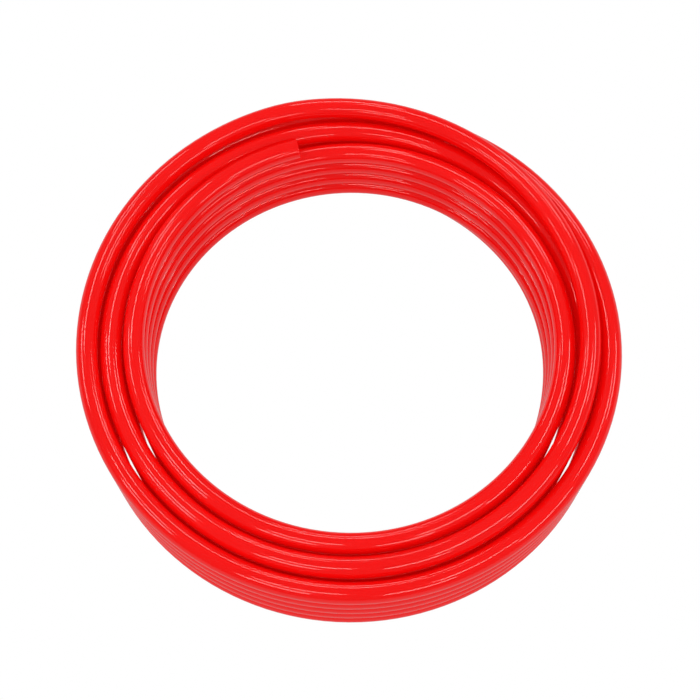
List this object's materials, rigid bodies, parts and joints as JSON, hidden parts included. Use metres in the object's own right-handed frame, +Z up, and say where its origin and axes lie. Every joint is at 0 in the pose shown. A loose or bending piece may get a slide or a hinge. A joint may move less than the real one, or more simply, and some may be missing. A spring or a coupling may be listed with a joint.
{
  "type": "coiled air hose",
  "caption": "Length of smooth flexible air hose wound into a short ring-shaped coil of nested layers, with two free cut ends that bend away from the coil.",
  "frame": {"origin": "on the coil's axis, level with the lowest point of the hose, where the coil rests", "axes": "+Z up along the coil's axis; -Y is the near side of the coil; both free ends are at azimuth 195 degrees, on the +Y side, turned from -Y towards +X"},
  "size_m": [0.2618, 0.2618, 0.0635],
  "materials": {
    "hose": "smooth glossy extruded polyurethane, opaque red through the wall"
  },
  "bodies": {
    "level_1": {"inner_turn_5": "hose", "bottom_crossover": "hose", "middle_turn_1": "hose", "outer_turn_5": "hose"},
    "level_2": {"inner_turn_4": "hose", "middle_turn_2": "hose", "outer_turn_4": "hose"},
    "level_3": {"inner_turn_3": "hose", "middle_turn_3": "hose", "outer_turn_3": "hose"},
    "level_4": {"inner_turn_2": "hose", "middle_turn_4": "hose", "outer_turn_2": "hose"},
    "level_5": {"inner_turn_1": "hose", "middle_turn_5": "hose", "top_crossover": "hose", "outer_turn_1": "hose"},
    "inner_end_1": {"inner_end_1": "hose"},
    "inner_end_2": {"inner_end_2": "hose"},
    "inner_end_3": {"inner_end_3": "hose"},
    "inner_end_4": {"inner_end_4": "hose"},
    "inner_end_5": {"inner_end_5": "hose"},
    "inner_end_6": {"inner_end_6": "hose"},
    "inner_end_7": {"inner_end_7": "hose"},
    "inner_end_8": {"inner_end_8": "hose"},
    "outer_end_1": {"outer_end_1": "hose"},
    "outer_end_2": {"outer_end_2": "hose"},
    "outer_end_3": {"outer_end_3": "hose"},
    "outer_end_4": {"outer_end_4": "hose"},
    "outer_end_5": {"outer_end_5": "hose"},
    "outer_end_6": {"outer_end_6": "hose"},
    "outer_end_7": {"outer_end_7": "hose"},
    "outer_end_8": {"outer_end_8": "hose"}
  },
  "joints": [
    {"name": "level_2_lift", "type": "slide", "parent": "level_1", "child": "level_2", "axis": [0, 0, 1], "range_m": [0, 0.008]},
    {"name": "level_3_lift", "type": "slide", "parent": "level_2", "child": "level_3", "axis": [0, 0, 1], "range_m": [0, 0.008]},
    {"name": "level_4_lift", "type": "slide", "parent": "level_3", "child": "level_4", "axis": [0, 0, 1], "range_m": [0, 0.008]},
    {"name": "level_5_lift", "type": "slide", "parent": "level_4", "child": "level_5", "axis": [0, 0, 1], "range_m": [0, 0.008]},
    {"name": "inner_end_bend_1", "type": "hinge", "parent": "level_5", "child": "inner_end_1", "pos_m": [-0.07351, -0.073, 0.05427], "axis": [0.7096, 0.7046, 0], "range_deg": [0, 9]},
    {"name": "inner_end_bend_2", "type": "hinge", "parent": "inner_end_1", "child": "inner_end_2", "pos_m": [-0.0899, -0.05149, 0.0547], "axis": [0.8678, 0.497, 0], "range_deg": [0, 9]},
    {"name": "inner_end_bend_3", "type": "hinge", "parent": "inner_end_2", "child": "inner_end_3", "pos_m": [-0.10016, -0.02646, 0.05514], "axis": [0.9668, 0.2554, 0], "range_deg": [0, 9]},
    {"name": "inner_end_bend_4", "type": "hinge", "parent": "inner_end_3", "child": "inner_end_4", "pos_m": [-0.1036, 0.00036, 0.05557], "axis": [1, -0.0035, 0], "range_deg": [0, 9]},
    {"name": "inner_end_bend_5", "type": "hinge", "parent": "inner_end_4", "child": "inner_end_5", "pos_m": [-0.09998, 0.02716, 0.056], "axis": [0.965, -0.2622, 0], "range_deg": [0, 9]},
    {"name": "inner_end_bend_6", "type": "hinge", "parent": "inner_end_5", "child": "inner_end_6", "pos_m": [-0.08954, 0.05211, 0.05643], "axis": [0.8643, -0.503, 0], "range_deg": [0, 9]},
    {"name": "inner_end_bend_7", "type": "hinge", "parent": "inner_end_6", "child": "inner_end_7", "pos_m": [-0.073, 0.07351, 0.05687], "axis": [0.7046, -0.7096, 0], "range_deg": [0, 9]},
    {"name": "inner_end_bend_8", "type": "hinge", "parent": "inner_end_7", "child": "inner_end_8", "pos_m": [-0.05149, 0.0899, 0.0573], "axis": [0.497, -0.8678, 0], "range_deg": [0, 9]},
    {"name": "outer_end_bend_1", "type": "hinge", "parent": "level_1", "child": "outer_end_1", "pos_m": [0.12159, -0.03304, 0.0092], "axis": [0, 0, -1], "range_deg": [0, 15]},
    {"name": "outer_end_bend_2", "type": "hinge", "parent": "outer_end_1", "child": "outer_end_2", "pos_m": [0.126, -0.00044, 0.00877], "axis": [0, 0, -1], "range_deg": [0, 15]},
    {"name": "outer_end_bend_3", "type": "hinge", "parent": "outer_end_2", "child": "outer_end_3", "pos_m": [0.12182, 0.03219, 0.00834], "axis": [0, 0, -1], "range_deg": [0, 15]},
    {"name": "outer_end_bend_4", "type": "hinge", "parent": "outer_end_3", "child": "outer_end_4", "pos_m": [0.10934, 0.06262, 0.0079], "axis": [0, 0, -1], "range_deg": [0, 15]},
    {"name": "outer_end_bend_5", "type": "hinge", "parent": "outer_end_4", "child": "outer_end_5", "pos_m": [0.08941, 0.08878, 0.00747], "axis": [0, 0, -1], "range_deg": [0, 15]},
    {"name": "outer_end_bend_6", "type": "hinge", "parent": "outer_end_5", "child": "outer_end_6", "pos_m": [0.06338, 0.1089, 0.00703], "axis": [0, 0, -1], "range_deg": [0, 15]},
    {"name": "outer_end_bend_7", "type": "hinge", "parent": "outer_end_6", "child": "outer_end_7", "pos_m": [0.03304, 0.12159, 0.0066], "axis": [0, 0, -1], "range_deg": [0, 15]},
    {"name": "outer_end_bend_8", "type": "hinge", "parent": "outer_end_7", "child": "outer_end_8", "pos_m": [0.00044, 0.126, 0.00617], "axis": [0, 0, -1], "range_deg": [0, 15]}
  ],
  "couplings": [
    {"joint": "level_3_lift", "follows": "level_2_lift", "ratio": 1},
    {"joint": "level_4_lift", "follows": "level_2_lift", "ratio": 1},
    {"joint": "level_5_lift", "follows": "level_2_lift", "ratio": 1},
    {"joint": "inner_end_bend_2", "follows": "inner_end_bend_1", "ratio": 1},
    {"joint": "inner_end_bend_3", "follows": "inner_end_bend_1", "ratio": 1},
    {"joint": "inner_end_bend_4", "follows": "inner_end_bend_1", "ratio": 1},
    {"joint": "inner_end_bend_5", "follows": "inner_end_bend_1", "ratio": 1},
    {"joint": "inner_end_bend_6", "follows": "inner_end_bend_1", "ratio": 1},
    {"joint": "inner_end_bend_7", "follows": "inner_end_bend_1", "ratio": 1},
    {"joint": "inner_end_bend_8", "follows": "inner_end_bend_1", "ratio": 1},
    {"joint": "outer_end_bend_2", "follows": "outer_end_bend_1", "ratio": 1},
    {"joint": "outer_end_bend_3", "follows": "outer_end_bend_1", "ratio": 1},
    {"joint": "outer_end_bend_4", "follows": "outer_end_bend_1", "ratio": 1},
    {"joint": "outer_end_bend_5", "follows": "outer_end_bend_1", "ratio": 1},
    {"joint": "outer_end_bend_6", "follows": "outer_end_bend_1", "ratio": 1},
    {"joint": "outer_end_bend_7", "follows": "outer_end_bend_1", "ratio": 1},
    {"joint": "outer_end_bend_8", "follows": "outer_end_bend_1", "ratio": 1}
  ]
}
